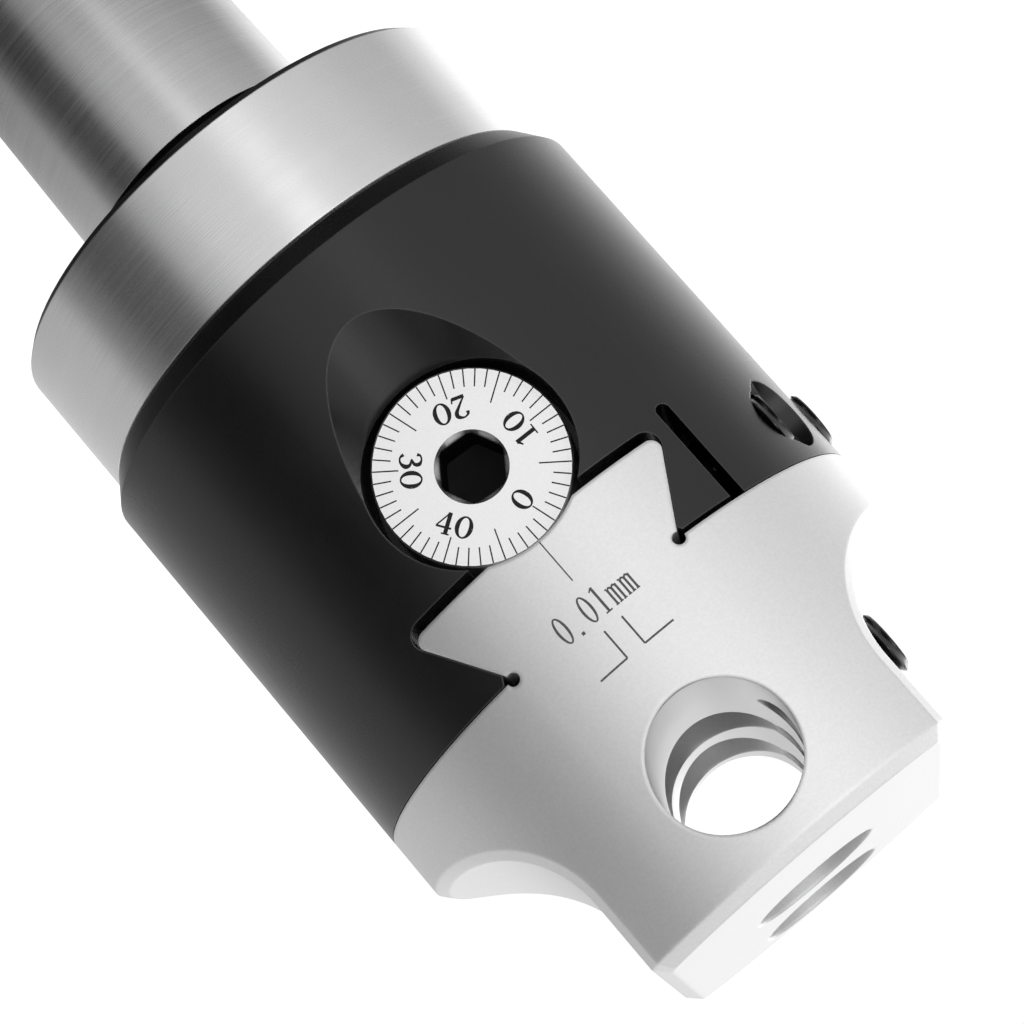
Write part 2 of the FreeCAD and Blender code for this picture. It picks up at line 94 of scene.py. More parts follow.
# --- Screws and threads ---------------------------------------------------------------------------
ROUND_STEPS = 48
THREAD_STEPS = 8
SET_SCREW_PITCH = 1.0 * MM
SET_SCREW_THREAD_DEPTH = 0.55 * MM
SET_SCREW_FLATS = 3.0 * MM
SET_SCREW_SOCKET = 3.0 * MM
SET_SCREW_CHAMFER = 0.55 * MM
SOCKET_MOUTH_RIM = 0.15 * MM
SOCKET_MOUTH_FACTOR = 1.15
SOCKET_FLOOR_FACTOR = 1.12
FEED_PITCH = 0.5 * MM
FEED_THREAD_DEPTH = 0.28 * MM
FEED_SCREW_RADIUS = 4.0 * MM
FEED_PLAIN_LENGTH = 7.6 * MM
FEED_END_CHAMFER = 0.6 * MM
DIAL_THICKNESS = 5.6 * MM
DIAL_EDGE = 0.15 * MM
DIAL_FLATS = 5.0 * MM
DIAL_SOCKET = 4.6 * MM
DIAL_SOCKET_TURN = math.radians(4.5)
DIAL_SOCKET_MOUTH = 3.0 * MM

# --- Graduations and marks ------------------------------------------------------------------------
DIVISIONS = 50
DIVISIONS_PER_LONG_TICK = 5
DIVISIONS_PER_NUMBER = 10
ZERO_ANGLE = math.radians(15.8)
TICK_WIDTH = 0.11 * MM
SHORT_TICK = 1.45 * MM
LONG_TICK = 2.6 * MM
NUMBERED_TICK = 2.1 * MM
NUMBER_HEIGHT = 1.85 * MM
NUMBER_RADIUS = 4.8 * MM
NUMBER_ADVANCE = 0.84
NUMBER_WIDEN = 1.25
NUMBER_BOLDEN = 1.3
TICK_RIM_GAP = 0.02 * MM
INDEX_START_GAP = 0.75 * MM
INDEX_END_GAP = 2.45 * MM
INDEX_WIDTH = 0.11 * MM
MARK_LIFT = 0.012 * MM
MARK_LIFT_STEP = 0.0002 * MM
MARK_LIFT_LEVELS = 12
MARK_SINK = 0.03 * MM
MARK_STEP = 0.25 * MM
MARK_WIDTH = 0.16 * MM
TEXT_HEIGHT = 2.5 * MM
TEXT_ADVANCE = 1.24 * MM
TEXT_TOP_GAP = 1.25 * MM
STEP_TOP_GAP = 2.1 * MM
STEP_BOTTOM_GAP = 4.85 * MM
STEP_MARKS = ((-1.05 * MM, -3.86 * MM), (0.71 * MM, 3.4 * MM))
CURVE_STEPS = 8
OVAL_STEPS = 32


# --- Facts taken from the frame -------------------------------------------------------------------

def middle(node):
    low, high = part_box(node)
    return (low + high) / 2


HEAD_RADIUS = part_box("head_body")[1].x
JOINT_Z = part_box("head_body")[1].z
DIAL_CENTRE = middle("dial_screw")
DIAL_FACE_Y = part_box("dial_screw")[0].y
DIAL_RADIUS = (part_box("dial_screw")[1].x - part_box("dial_screw")[0].x) / 2
FLOOR_Z = cad_box[0].z
CROSS_BORE_Z = middle("clamp_screw_middle").z
TOOL_BORE_RADIUS = 6.0 * MM


# --- Shader helpers -------------------------------------------------------------------------------

class Shader:
    """A node tree that is built by short calls."""

    def __init__(self, tree):
        self.tree = tree
        tree.nodes.clear()

    def add(self, kind, inputs=None, **settings):
        node = self.tree.nodes.new(kind)
        for name, value in settings.items():
            setattr(node, name, value)
        for key, value in (inputs or {}).items():
            self.plug(node, key, value)
        return node

    def plug(self, node, key, value):
        if isinstance(value, bpy.types.NodeSocket):
            self.tree.links.new(value, node.inputs[key])
        else:
            node.inputs[key].default_value = value

    def math(self, operation, *values):
        node = self.add("ShaderNodeMath", operation=operation)
        for i, value in enumerate(values):
            self.plug(node, i, value)
        return node.outputs[0]

    def between(self, value, low, high, to_low, to_high, smooth=False):
        """Map a value from one range to another, held at its ends."""
        style = "SMOOTHSTEP" if smooth else "LINEAR"
        node = self.add("ShaderNodeMapRange", interpolation_type=style)
        for key, item in zip(("Value", "From Min", "From Max", "To Min", "To Max"),
                             (value, low, high, to_low, to_high)):
            self.plug(node, key, item)
        return node.outputs["Result"]

    def vary(self, noise, low, high):
        """Map the middle of a noise, where most of it lies, to a range."""
        return self.between(noise, 0.3, 0.7, low, high)

    def grain(self, place, scale, detail=3.0, roughness=0.55):
        """Noise from 0 to 1; scale is cycles per metre along X, Y and Z."""
        stretched = self.add("ShaderNodeVectorMath", {0: place, 1: scale}, operation="MULTIPLY")
        noise = self.add("ShaderNodeTexNoise", {"Vector": stretched.outputs[0], "Scale": 1.0,
                                                "Detail": detail, "Roughness": roughness})
        return noise.outputs["Fac"]

    def mix_colour(self, factor, first, second):
        node = self.add("ShaderNodeMix", data_type="RGBA")
        self.plug(node, 0, factor)
        self.plug(node, 6, first)
        self.plug(node, 7, second)
        return node.outputs[2]

    def bump(self, height, distance, strength=1.0, normal=None):
        node = self.add("ShaderNodeBump", {"Height": height, "Distance": distance, "Strength": strength})
        if normal is not None:
            self.plug(node, "Normal", normal)
        return node.outputs["Normal"]


def grey(value):
    return (value, value, value, 1.0)


def new_material(name):
    material = bpy.data.materials.new(name)
    material.use_nodes = True
    shader = Shader(material.node_tree)
    place = shader.add("ShaderNodeTexCoord").outputs["Object"]
    parts = shader.add("ShaderNodeSeparateXYZ", {0: place}).outputs
    return material, shader, place, parts


def finish_material(shader, **sockets):
    """Principled shader on the output; a key is the socket's name with underscores for spaces."""
    inputs = {key.replace("_", " "): value for key, value in sockets.items()}
    principled = shader.add("ShaderNodeBsdfPrincipled", inputs)
    shader.add("ShaderNodeOutputMaterial", {"Surface": principled.outputs[0]})


def soft_edges(shader, radius):
    """Normal that rounds sharp edges, and a mask that is 1 on them."""
    rounded = shader.add("ShaderNodeBevel", {"Radius": radius}, samples=4).outputs[0]
    flat = shader.add("ShaderNodeNewGeometry").outputs["Normal"]
    alike = shader.add("ShaderNodeVectorMath", {0: rounded, 1: flat}, operation="DOT_PRODUCT")
    return rounded, shader.between(alike.outputs["Value"], 0.995, 0.90, 0.0, 1.0)


def distance_from(shader, first, first_centre, second, second_centre):
    """Distance from an axis, from the two coordinates across it."""
    across = shader.math("SUBTRACT", first, first_centre)
    up = shader.math("SUBTRACT", second, second_centre)
    return shader.math("SQRT", shader.math("ADD", shader.math("MULTIPLY", across, across),
                                           shader.math("MULTIPLY", up, up)))


# --- Materials ------------------------------------------------------------------------------------

def ground_steel():
    """Cylindrically ground steel: fine lines round the spindle axis, satin lustre drawn out along it.
    The relieved neck and the cone below it carry painted shade: a dark, non-metallic colour."""
    material, shader, place, (_, _, z) = new_material("ground_steel_finish")
    # Painted shade: the neck and the cone below it are coloured dark and made non-metallic.
    above = shader.between(z, *NECK_TOP, 0.0, 1.0)
    painted_neck_shade = shader.math("MULTIPLY", above, shader.between(z, *NECK_END, 1.0, 0.0))
    fine = shader.grain(place, (45, 45, 7000))
    broad = shader.grain(place, (18, 18, 900), detail=2)
    cloud = shader.grain(place, (160, 160, 160))
    lines = shader.math("ADD", shader.math("MULTIPLY", fine, 0.7), shader.math("MULTIPLY", broad, 0.3))
    rounded, _ = soft_edges(shader, 0.12 * MM)
    around = shader.add("ShaderNodeTangent", direction_type="RADIAL", axis="Z").outputs[0]
    bright = shader.mix_colour(shader.vary(lines, 0, 1), grey(0.69), grey(0.75))
    finish_material(
        shader,
        Base_Color=shader.mix_colour(painted_neck_shade, bright, grey(0.005)),
        Metallic=shader.math("SUBTRACT", 1.0, painted_neck_shade),
        Roughness=shader.math("ADD", shader.vary(fine, 0.20, 0.30),
                              shader.vary(cloud, 0.0, 0.05)),
        Anisotropic=0.55, Anisotropic_Rotation=0.25, Tangent=around,
        Normal=shader.bump(lines, 0.002 * MM, 0.3, rounded))
    return material


def black_oxide():
    """Blackened steel with an oily half-gloss, faint turning lines, cutter arcs in the scoops and a painted
    highlight along its edges.
    """
    material, shader, place, (x, y, z) = new_material("black_oxide_finish")
    turning = shader.grain(place, (30, 30, 4500))
    cloud = shader.grain(place, (120, 120, 120), detail=4)
    pores = shader.grain(place, (9000, 9000, 9000), detail=2)
    # Painted highlight: this mask lightens the colour along the rounded edges.
    rounded, painted_edge_highlight = soft_edges(shader, 0.18 * MM)
    from_dial = distance_from(shader, x, DIAL_CENTRE.x, z, DIAL_CENTRE.z)
    arcs = shader.math("SINE", shader.math("MULTIPLY", from_dial, math.tau / (0.45 * MM)))
    from_axis = distance_from(shader, x, 0.0, y, 0.0)
    in_scoop = shader.between(from_axis, HEAD_RADIUS - 0.1 * MM, HEAD_RADIUS - 0.3 * MM, 0.0, 1.0)
    marks = shader.math("ADD", shader.math("MULTIPLY", turning, 0.6), shader.math("MULTIPLY", pores, 0.4))
    height = shader.math("ADD", marks, shader.math("MULTIPLY", shader.math("MULTIPLY", arcs, in_scoop), 0.5))
    dull = shader.mix_colour(shader.between(cloud, 0.35, 0.65, 0, 1), grey(0.003), grey(0.006))
    finish_material(
        shader,
        Base_Color=shader.mix_colour(shader.math("MULTIPLY", painted_edge_highlight, 0.6), dull, grey(0.14)),
        Metallic=0.0,
        Roughness=shader.math("ADD", shader.vary(cloud, 0.24, 0.29),
                              shader.vary(pores, 0.0, 0.06)),
        Specular_IOR_Level=0.5,
        Normal=shader.bump(height, 0.002 * MM, 0.5, rounded))
    return material


def satin_steel():
    """Fine-blasted steel; the bores are reamed and keep faint lines round their axes, and the cross bore's
    wall is darkened as painted shade.
    """
    material, shader, place, (x, _, z) = new_material("satin_steel_finish")
    grit = shader.grain(place, (11000, 11000, 11000), detail=3)
    mottle = shader.grain(place, (4000, 4000, 4000), detail=3)
    cloud = shader.grain(place, (110, 110, 110), detail=3)
    rounded, _ = soft_edges(shader, 0.5 * MM)
    from_cross = distance_from(shader, x, 0.0, z, CROSS_BORE_Z)
    in_bore = shader.between(from_cross, TOOL_BORE_RADIUS + 0.06 * MM, TOOL_BORE_RADIUS + 0.02 * MM, 0.0, 1.0)
    reamed = shader.grain(place, (60, 6000, 60), detail=2)
    surface = shader.math("ADD", shader.math("MULTIPLY", grit, 0.75), shader.math("MULTIPLY", mottle, 0.25))
    height = shader.add("ShaderNodeMix", {0: in_bore, 2: surface, 3: reamed}).outputs[0]
    pale = shader.mix_colour(shader.between(mottle, 0.35, 0.65, 0, 1), grey(0.80), grey(0.84))
    # Painted shade: inside the cross bore the colour is mixed towards a darker grey.
    finish_material(
        shader,
        Base_Color=shader.mix_colour(shader.math("MULTIPLY", in_bore, 0.6), pale, grey(0.50)),
        Metallic=1.0,
        Roughness=shader.math("SUBTRACT", shader.vary(cloud, 0.52, 0.55),
                              shader.math("MULTIPLY", in_bore, 0.2)),
        Normal=shader.bump(height, 0.006 * MM, 0.6, rounded))
    return material


def dial_steel():
    """Satin chromed dial with fine lathe rings; its socket is darkened as painted shade and the feed screw
    behind is duller.
    """
    material, shader, place, (x, y, z) = new_material("dial_steel_finish")
    from_dial = distance_from(shader, x, DIAL_CENTRE.x, z, DIAL_CENTRE.z)
    along_radius = shader.add("ShaderNodeCombineXYZ", {0: from_dial}).outputs[0]
    rings = shader.add("ShaderNodeTexNoise", {"Vector": along_radius, "Scale": 7000.0,
                                              "Detail": 2.0}).outputs["Fac"]
    grit = shader.grain(place, (9000, 9000, 9000))
    back_y = DIAL_FACE_Y + DIAL_THICKNESS
    behind = shader.between(y, back_y - 0.2 * MM, back_y, 0.0, 1.0)
    # Painted shade: the hex socket below its mouth is coloured very dark.
    inside = shader.between(from_dial, DIAL_SOCKET_MOUTH + 0.02 * MM, DIAL_SOCKET_MOUTH, 0.0, 1.0)
    sunk = shader.between(y, DIAL_FACE_Y + 0.25 * MM, DIAL_FACE_Y + 0.45 * MM, 0.0, 1.0)
    in_socket = shader.math("MULTIPLY", inside, sunk)
    dark = shader.math("MAXIMUM", shader.math("MULTIPLY", behind, 0.55), in_socket)
    face = shader.mix_colour(shader.vary(grit, 0, 1), grey(0.84), grey(0.90))
    finish_material(
        shader,
        Base_Color=shader.mix_colour(dark, face, grey(0.015)),
        Metallic=1.0,
        Roughness=shader.math("ADD", shader.vary(rings, 0.34, 0.44),
                              shader.math("MULTIPLY", in_socket, 0.2)),
        Normal=shader.bump(rings, 0.002 * MM, 0.4))
    return material


def turned_metal(name, dark, light, roughness):
    """Turned metal with lines round the feed screw's axis."""
    material, shader, place, _ = new_material(name)
    lines = shader.grain(place, (80, 5000, 80), detail=2)
    cloud = shader.grain(place, (400, 400, 400))
    rounded, _ = soft_edges(shader, 0.1 * MM)
    finish_material(
        shader,
        Base_Color=shader.mix_colour(shader.vary(cloud, 0, 1), dark, light),
        Metallic=1.0,
        Roughness=shader.vary(lines, roughness - 0.05, roughness + 0.08),
        Normal=shader.bump(lines, 0.002 * MM, 0.5, rounded))
    return material


def black_screw():
    """Blackened alloy steel with a thin oil sheen, rubbed lighter here and there."""
    material, shader, place, _ = new_material("black_screw_finish")
    pores = shader.grain(place, (6000, 6000, 6000))
    rubbed = shader.grain(place, (700, 700, 700), detail=4)
    finish_material(
        shader,
        Base_Color=shader.mix_colour(shader.between(rubbed, 0.50, 0.75, 0, 1), grey(0.003), grey(0.014)),
        Metallic=0.0,
        Roughness=shader.vary(pores, 0.22, 0.38),
        Specular_IOR_Level=0.6,
        Normal=shader.bump(pores, 0.004 * MM, 0.4))
    return material


def mark_fill(name, dark, light):
    """Rough, slightly uneven filling of an engraved line."""
    material, shader, place, _ = new_material(name)
    uneven = shader.grain(place, (5000, 5000, 5000), detail=3)
    finish_material(
        shader,
        Base_Color=shader.mix_colour(shader.vary(uneven, 0, 1), dark, light),
        Metallic=0.0,
        Roughness=shader.vary(uneven, 0.5, 0.8),
        Specular_IOR_Level=0.3)
    return material


# --- Screws ---------------------------------------------------------------------------------------

def hexagon_radius(angle, flats):
    """Distance from the centre to a hexagon's side in the direction of the angle."""
    sixth = math.radians(60)
    return flats / 2 / math.cos((angle + sixth / 2) % sixth - sixth / 2)


def thread_radius(angle, along, crest, depth, pitch):
    """Radius on a right-hand V thread."""
    phase = (along / pitch - angle / math.tau) % 1.0
    return crest - depth * abs(2 * phase - 1)


def rings_to_mesh(name, rings, floor_centre, tip_centre):
    """Closed mesh through equal rings of points, capped by a point at each end."""
    count = len(rings[0])
    points = [p for ring in rings for p in ring] + [floor_centre, tip_centre]
    first_cap, last_cap = len(points) - 2, len(points) - 1
    faces = []
    for row in range(len(rings) - 1):
        for i in range(count):
            j = (i + 1) % count
            a, b = row * count, (row + 1) * count
            faces.append((a + i, a + j, b + j, b + i))
    last = (len(rings) - 1) * count
    for i in range(count):
        j = (i + 1) % count
        faces.append((first_cap, j, i))
        faces.append((last_cap, last + i, last + j))
    mesh = bpy.data.meshes.new(name)
    mesh.from_pydata(points, [], faces)
    mesh.validate()
    mesh.shade_smooth()
    mesh.set_sharp_from_angle(angle=math.radians(32))
    piece = bpy.data.objects.new(name, mesh)
    bpy.context.scene.collection.objects.link(piece)
    return piece


def threaded_rings(start, length, crest, depth, pitch, start_limit, end_limit):
    """(distance, radius function) of each ring along a thread; the limits cut its ends back to chamfers."""
    steps = round(length / pitch * THREAD_STEPS)
    rings = []
    for n in range(steps + 1):
        along = start + length * n / steps
        limit = min(start_limit(along), end_limit(along))
        rings.append((along, lambda angle, along=along, limit=limit:
                      min(limit, thread_radius(angle, along, crest, depth, pitch))))
    return rings


def socket_rings(flats, depth, mouth_radius, turn):
    """Rings of a hexagon socket, from its floor to its mouth."""
    def hexagon(angle):
        return hexagon_radius(angle - turn, flats)
    mouth_depth = mouth_radius - flats / 2
    return [(depth, hexagon), (mouth_depth, hexagon), (0.0, lambda angle: mouth_radius)]


def screw_piece(name, origin, along, across, rings, tip_length):
    """Screw from its rings; each is placed at a distance along the axis from the origin."""
    up = along.cross(across)
    angles = [math.tau * i / ROUND_STEPS for i in range(ROUND_STEPS)]
    placed = []
    for distance, radius in rings:
        centre = origin + along * distance
        placed.append([centre + (across * math.cos(a) + up * math.sin(a)) * radius(a) for a in angles])
    floor = origin + along * (rings[0][0] * SOCKET_FLOOR_FACTOR)
    return rings_to_mesh(name, placed, floor, origin + along * tip_length)


def set_screw(name):
    """Threaded set screw with its socket end at the CAD screw's outer end."""
    low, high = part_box(name)
    length = high.x - low.x
    crest = (high.y - low.y) / 2
    cut = crest - SET_SCREW_CHAMFER
    mouth_radius = SET_SCREW_FLATS / 2 * SOCKET_MOUTH_FACTOR + SOCKET_MOUTH_RIM
    rings = socket_rings(SET_SCREW_FLATS, SET_SCREW_SOCKET, mouth_radius, 0.0)
    rings += threaded_rings(0.0, length, crest, SET_SCREW_THREAD_DEPTH, SET_SCREW_PITCH,
                            lambda s: cut + s, lambda s: cut + length - s)
    origin = Vector((low.x, (low.y + high.y) / 2, (low.z + high.z) / 2))
    return screw_piece(name + "_threaded", origin, Vector((1, 0, 0)), Vector((0, 0, 1)), rings, length)


def dial_and_feed_screw():
    """Dial with its socket, and the fine-threaded feed screw behind it."""
    low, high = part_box("dial_screw")
    length = high.y - low.y
    cut = FEED_SCREW_RADIUS - FEED_END_CHAMFER

    def constant(radius):
        return lambda angle: radius

    rings = socket_rings(DIAL_FLATS, DIAL_SOCKET, DIAL_SOCKET_MOUTH, DIAL_SOCKET_TURN)
    rings += [(0.0, constant(DIAL_RADIUS - DIAL_EDGE)), (DIAL_EDGE, constant(DIAL_RADIUS)),
              (DIAL_THICKNESS, constant(DIAL_RADIUS)), (DIAL_THICKNESS, constant(FEED_SCREW_RADIUS))]
    plain_end = DIAL_THICKNESS + FEED_PLAIN_LENGTH
    rings.append((plain_end, constant(FEED_SCREW_RADIUS)))
    rings += threaded_rings(plain_end, length - plain_end, FEED_SCREW_RADIUS, FEED_THREAD_DEPTH, FEED_PITCH,
                            lambda s: FEED_SCREW_RADIUS, lambda s: cut + length - s)
    origin = Vector((DIAL_CENTRE.x, low.y, DIAL_CENTRE.z))
    return screw_piece("graduated_dial", origin, Vector((0, 1, 0)), Vector((0, 0, 1)), rings, length)


# --- Strokes, numbers and marks -------------------------------------------------------------------

def smooth_path(points):
    """Points and widths along a Catmull-Rom curve through (x, y, width) points."""
    padded = [points[0]] + points + [points[-1]]
    path = []
    for a, b, c, d in zip(padded, padded[1:], padded[2:], padded[3:]):
        for n in range(CURVE_STEPS):
            t = n / CURVE_STEPS
            path.append(tuple(
                0.5 * (2 * q + (r - p) * t + (2 * p - 5 * q + 4 * r - s) * t * t
                       + (3 * q - p - 3 * r + s) * t ** 3)
                for p, q, r, s in zip(a, b, c, d)))
    return path + [tuple(points[-1])]


def straight_path(start, end, width):
    return [(*start, width), (*end, width)]


def oval(half_width, half_height, thin, thick):
    """Closed stroke of a zero: thick at its sides and thin at top and bottom, in a cell of height 1."""
    path = []
    for n in range(OVAL_STEPS + 1):
        a = math.tau * n / OVAL_STEPS
        path.append((half_width * math.cos(a), 0.5 + half_height * math.sin(a),
                     thin + (thick - thin) * math.cos(a) ** 2))
    return path


SERIF_DIGITS = {
    "0": [oval(0.235, 0.455, 0.055, 0.15)],
    "1": [straight_path((0.03, 0.03), (0.03, 0.97), 0.14), straight_path((-0.17, 0.025), (0.23, 0.025), 0.05),
          smooth_path([(-0.17, 0.80, 0.05), (-0.06, 0.87, 0.07), (0.0, 0.97, 0.06)])],
    "2": [smooth_path([(-0.19, 0.74, 0.13), (-0.17, 0.88, 0.08), (-0.02, 0.965, 0.06), (0.16, 0.88, 0.13),
                       (0.19, 0.70, 0.14), (0.05, 0.46, 0.09), (-0.22, 0.08, 0.05)]),
          straight_path((-0.23, 0.06), (0.20, 0.06), 0.12), straight_path((0.20, 0.02), (0.24, 0.24), 0.05)],
    "3": [smooth_path([(-0.19, 0.78, 0.12), (-0.14, 0.92, 0.07), (0.0, 0.965, 0.06), (0.15, 0.86, 0.13),
                       (0.14, 0.66, 0.11), (-0.04, 0.54, 0.05)]),
          smooth_path([(-0.04, 0.54, 0.05), (0.16, 0.46, 0.10), (0.21, 0.26, 0.15), (0.08, 0.06, 0.08),
                       (-0.10, 0.04, 0.06), (-0.21, 0.20, 0.12)])],
    "4": [straight_path((0.10, 0.97), (-0.26, 0.33), 0.05), straight_path((-0.28, 0.30), (0.26, 0.30), 0.07),
          straight_path((0.10, 0.97), (0.10, 0.03), 0.14),
          straight_path((-0.04, 0.025), (0.24, 0.025), 0.05)],
}

LETTER_HEIGHT = 0.62
NARROW_LETTERS = {
    "0": [oval(0.155, 0.46, 0.055, 0.085)],
    ".": [straight_path((-0.115, 0.02), (-0.005, 0.02), 0.11)],
    "1": [straight_path((0.0, 0.03), (0.0, 0.97), 0.085), straight_path((-0.12, 0.025), (0.12, 0.025), 0.05),
          straight_path((-0.12, 0.86), (0.0, 0.96), 0.05)],
    "m": [straight_path((x, 0.02), (x, LETTER_HEIGHT - 0.03), 0.075) for x in (-0.155, 0.0, 0.155)]
    + [straight_path((x - 0.06, 0.02), (x + 0.06, 0.02), 0.045) for x in (-0.155, 0.0, 0.155)]
    + [smooth_path([(x, 0.50, 0.04), (x + 0.07, 0.60, 0.06), (x + 0.155, 0.53, 0.07)]) for x in (-0.155, 0.0)]
    + [straight_path((-0.22, LETTER_HEIGHT - 0.02), (-0.15, LETTER_HEIGHT - 0.01), 0.045)],
}


def resampled(path, step):
    """The path with no two points further apart than the step."""
    fine = [path[0]]
    for start, end in zip(path, path[1:]):
        pieces = max(1, math.ceil(math.dist(start[:2], end[:2]) / step))
        for n in range(1, pieces + 1):
            t = n / pieces
            fine.append(tuple(p + (q - p) * t for p, q in zip(start, end)))
    return fine


class Marks:
    """Flat strokes collected into one thin closed mesh that lies on a surface."""

    def __init__(self, name, on_surface):
        self.name = name
        self.on_surface = on_surface
        self.points = []
        self.faces = []
        self.strokes = 0

    def stroke(self, path):
        """Ribbon along (x, z, width) points; each stroke is a hair higher than the one before."""
        path = resampled(path, MARK_STEP)
        lift = MARK_LIFT + MARK_LIFT_STEP * (self.strokes % MARK_LIFT_LEVELS)
        self.strokes += 1
        first = len(self.points)
        for i, (x, z, width) in enumerate(path):
            before, after = path[max(i - 1, 0)], path[min(i + 1, len(path) - 1)]
            dx, dz = after[0] - before[0], after[1] - before[1]
            length = math.hypot(dx, dz)
            side_x, side_z = -dz / length * width / 2, dx / length * width / 2
            for sign, height in ((1, lift), (-1, lift), (-1, -MARK_SINK), (1, -MARK_SINK)):
                self.points.append(self.on_surface(x + sign * side_x, z + sign * side_z, height))
        for i in range(len(path) - 1):
            a, b = first + 4 * i, first + 4 * (i + 1)
            for n in range(4):
                m = (n + 1) % 4
                self.faces.append((a + n, a + m, b + m, b + n))
        last = first + 4 * (len(path) - 1)
        self.faces.append((first + 3, first + 2, first + 1, first))
        self.faces.append((last, last + 1, last + 2, last + 3))

    def glyph(self, strokes, height, place, right, up):
        """Strokes of a sign in a cell of height 1, put on the surface at a size, place and turn."""
        for path in strokes:
            placed = []
            for u, v, width in path:
                spot_x = place.x + (right.x * u + up.x * v) * height
                spot_z = place.y + (right.y * u + up.y * v) * height
                placed.append((spot_x, spot_z, width * height))
            self.stroke(placed)

    def piece(self):
        mesh = bpy.data.meshes.new(self.name)
        mesh.from_pydata(self.points, [], self.faces)
        mesh.validate()
        piece = bpy.data.objects.new(self.name, mesh)
        bpy.context.scene.collection.objects.link(piece)
        return piece


def on_dial(x, z, height):
    return Vector((x, DIAL_FACE_Y - height, z))


def on_slide(x, z, height):
    """Point on the slide's front at x, z, lifted off its surface towards -Y."""
    hit, spot, _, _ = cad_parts["slide"].ray_cast(Vector((x, -2 * HEAD_RADIUS, z)), Vector((0, 1, 0)))
    return Vector((x, (spot.y if hit else -HEAD_RADIUS) - height, z))


def outwards(angle):
    """Direction on the dial's face at an angle from +Z, counter-clockwise as seen from the front."""
    return Vector((-math.sin(angle), math.cos(angle)))


def dial_centre():
    return Vector((DIAL_CENTRE.x, DIAL_CENTRE.z))


def dial_ticks():
    marks = Marks("dial_ticks", on_dial)
    rim = DIAL_RADIUS - DIAL_EDGE
    for n in range(DIVISIONS):
        direction = outwards(ZERO_ANGLE + math.tau * n / DIVISIONS)
        length = SHORT_TICK if n % DIVISIONS_PER_LONG_TICK else LONG_TICK
        if n % DIVISIONS_PER_NUMBER == 0:
            length = NUMBERED_TICK
        start = dial_centre() + direction * (rim - TICK_RIM_GAP)
        end = dial_centre() + direction * (rim - length)
        marks.stroke(straight_path(start, end, TICK_WIDTH))
    return marks.piece()


def widened(strokes):
    """The strokes of a sign made wider and bolder for the dial."""
    return [[(u * NUMBER_WIDEN, v, width * NUMBER_BOLDEN) for u, v, width in path] for path in strokes]


def dial_numbers():
    """Numbers with their tops towards the centre of the dial."""
    marks = Marks("dial_numbers", on_dial)
    for n in range(0, DIVISIONS, DIVISIONS_PER_NUMBER):
        direction = outwards(ZERO_ANGLE + math.tau * n / DIVISIONS)
        up = -direction
        right = Vector((up.y, -up.x))
        digits = str(n)
        for i, digit in enumerate(digits):
            shift = (i - (len(digits) - 1) / 2) * NUMBER_ADVANCE * NUMBER_HEIGHT
            foot = dial_centre() + direction * (NUMBER_RADIUS + NUMBER_HEIGHT / 2) + right * shift
            marks.glyph(widened(SERIF_DIGITS[digit]), NUMBER_HEIGHT, foot, right, up)
    return marks.piece()


def index_line():
    """Line at the middle of the lower scoop, from the dial's pocket to the scoop's tip."""
    marks = Marks("index_line", on_slide)
    start_z = DIAL_CENTRE.z + DIAL_RADIUS + INDEX_START_GAP
    marks.stroke(straight_path((0.0, start_z), (0.0, JOINT_Z - INDEX_END_GAP), INDEX_WIDTH))
    return marks.piece()


def slide_marks():
    """Division value and the two stepped marks below it; they are read from the shank's side."""
    marks = Marks("slide_marks", on_slide)
    right, up = Vector((-1, 0)), Vector((0, -1))
    text = "0.01mm"
    base_z = JOINT_Z + TEXT_TOP_GAP
    for i, sign in enumerate(text):
        shift = (i - (len(text) - 1) / 2) * TEXT_ADVANCE
        marks.glyph(NARROW_LETTERS[sign], TEXT_HEIGHT, Vector((0, base_z)) + right * shift, right, up)
    top, bottom = JOINT_Z + STEP_TOP_GAP, JOINT_Z + STEP_BOTTOM_GAP
    for near, far in STEP_MARKS:
        marks.stroke(straight_path((near, top), (near, bottom), MARK_WIDTH))
        marks.stroke(straight_path((near, bottom), (far, bottom), MARK_WIDTH))
    return marks.piece()


# --- Scene ----------------------------------------------------------------------------------------

def finish_cad_nodes():
    hardened = turned_metal("hardened_steel_finish", grey(0.42), grey(0.52), 0.28)
    finishes = {
        "arbor": ground_steel(),
        "head_body": black_oxide(),
        "slide": satin_steel(),
        "thrust_washer": hardened,
        "thrust_collar": hardened,
        "collar_pin": hardened,
        "feed_nut": turned_metal("bronze_finish", (0.50, 0.33, 0.13, 1), (0.62, 0.42, 0.18, 1), 0.32),
    }
    for node, material in finishes.items():
        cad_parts[node].data.materials.clear()
        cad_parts[node].data.materials.append(material)


def add_piece(piece, material, body, replaced=None):
    piece.data.materials.append(material)
    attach(piece, body)
    if replaced:
        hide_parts(replaced)


def add_screws():
    screw_material = black_screw()
    for place in ("front", "middle", "rear"):
        for kind in ("gib_screw_", "clamp_screw_"):
            add_piece(set_screw(kind + place), screw_material, kind + place, kind + place)


def add_dial():
    ink = mark_fill("dial_ink", grey(0.008), grey(0.02))
    add_piece(dial_and_feed_screw(), dial_steel(), "dial", "dial_screw")
    add_piece(dial_ticks(), ink, "dial")
    add_piece(dial_numbers(), ink, "dial")


def add_slide_marks():
    etched = mark_fill("etched_mark", grey(0.10), grey(0.17))
    add_piece(index_line(), etched, "slide")
    add_piece(slide_marks(), etched, "slide")


